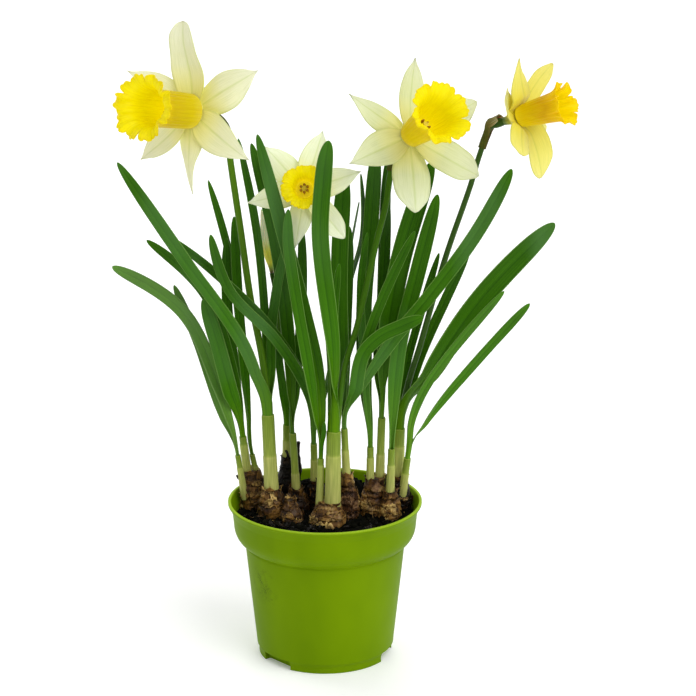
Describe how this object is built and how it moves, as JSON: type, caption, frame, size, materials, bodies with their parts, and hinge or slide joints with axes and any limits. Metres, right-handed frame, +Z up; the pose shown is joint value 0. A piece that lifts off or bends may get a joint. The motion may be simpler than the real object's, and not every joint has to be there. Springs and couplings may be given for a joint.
{
  "type": "potted daffodil",
  "caption": "Potted daffodil: papery bulbs in a tapered green nursery pot of soil, with strap leaves in sheathed shoots, trumpet flowers on bent necks and a closed bud.",
  "frame": {"origin": "middle of the pot's underside, on the surface that the pot stands on", "axes": "+Z up, along the pot's axis; -Y towards the viewer of the picture; +X to the viewer's right"},
  "size_m": [0.2809, 0.12, 0.3928],
  "materials": {
    "pot_plastic": "satin moulded lime green plastic",
    "soil": "matte dark crumbly potting soil",
    "bulb_skin": "matte brown papery skin",
    "sheath": "satin pale green translucent sheath",
    "leaf": "satin waxy green leaf with fine veins",
    "stem": "satin green stem",
    "spathe": "matte dry papery bract",
    "petal_cream": "soft cream petal, yellow at its base",
    "petal_yellow": "soft yellow petal",
    "corona": "soft golden yellow frilled cup",
    "bud": "soft pale yellow bud"
  },
  "bodies": {
    "root": {"pot": "pot_plastic", "soil": "soil", "bulb_left": "bulb_skin", "bulb_left_front": "bulb_skin", "bulb_centre_left": "bulb_skin", "bulb_back": "bulb_skin", "bulb_centre_back": "bulb_skin", "bulb_front": "bulb_skin", "bulb_slim": "bulb_skin", "bulb_twin": "bulb_skin", "bulb_right_back": "bulb_skin", "sheath_left_1": "sheath", "sheath_left_2": "sheath", "sheath_left_3": "sheath", "sheath_left_main": "sheath", "sheath_back_1": "sheath", "sheath_back_2": "sheath", "sheath_mid_1": "sheath", "sheath_mid_2": "sheath", "sheath_mid_3": "sheath", "sheath_mid_4": "sheath", "sheath_right_1": "sheath", "sheath_right_2": "sheath", "sheath_right_3": "sheath", "sheath_right_4": "sheath", "sheath_right_5": "sheath", "leaves_left_1": "leaf", "leaves_left_2": "leaf", "leaves_left_3": "leaf", "leaves_left_main": "leaf", "leaves_back_1": "leaf", "leaves_back_2": "leaf", "leaves_mid_1": "leaf", "leaves_mid_2": "leaf", "leaves_mid_3": "leaf", "leaves_mid_4": "leaf", "leaves_right_1": "leaf", "leaves_right_2": "leaf", "leaves_right_3": "leaf", "leaves_right_4": "leaf", "leaves_right_5": "leaf", "stem_left": "stem", "stem_right": "stem", "stem_centre": "stem", "stem_yellow": "stem", "stem_bud": "stem", "spathe_left": "spathe", "spathe_right": "spathe", "spathe_centre": "spathe", "spathe_yellow": "spathe", "petals_left": "petal_cream", "petals_right": "petal_cream", "petals_centre": "petal_cream", "petals_yellow": "petal_yellow", "corona_left": "corona", "corona_right": "corona", "corona_centre": "corona", "corona_yellow": "corona", "bud": "bud"}
  },
  "joints": []
}
